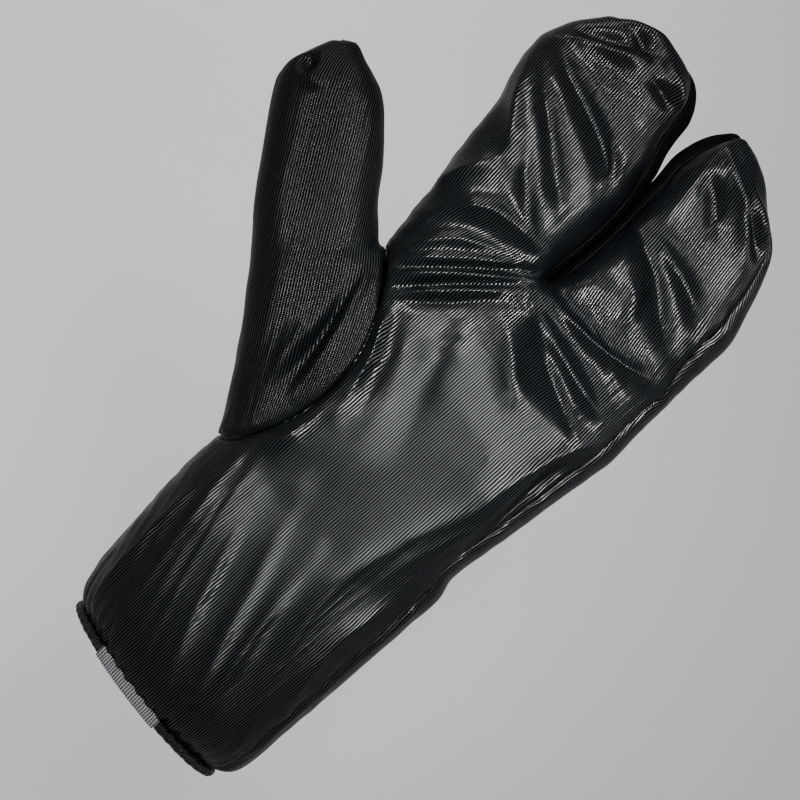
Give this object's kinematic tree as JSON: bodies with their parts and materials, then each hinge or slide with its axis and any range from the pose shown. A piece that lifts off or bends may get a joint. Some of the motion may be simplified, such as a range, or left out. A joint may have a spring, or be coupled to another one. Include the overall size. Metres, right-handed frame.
{
  "type": "lobster claw mitt",
  "caption": "Thin ribbed nylon over-mitt for the left hand, with a thumb, two finger lobes parted by a slit, and a gathered elastic cuff.",
  "frame": {"origin": "middle of the cuff mouth, where a wrist goes in", "axes": "+Z from the cuff to the fingertips, the palm faces -Y, the thumb is at -X"},
  "size_m": [0.1806, 0.0613, 0.2962],
  "materials": {
    "shell": "black ribbed nylon with a satin sheen",
    "thumb_cloth": "the same black nylon, ribs along the thumb, slightly duller",
    "side_cloth": "matt black nylon",
    "elastic": "grey ribbed elastic"
  },
  "bodies": {
    "root": {"palm_panel": "shell", "back_panel": "shell", "finger_gusset": "side_cloth", "thumb_front": "thumb_cloth", "thumb_back": "thumb_cloth", "hem_casing": "shell", "hem_elastic": "elastic"}
  },
  "joints": []
}
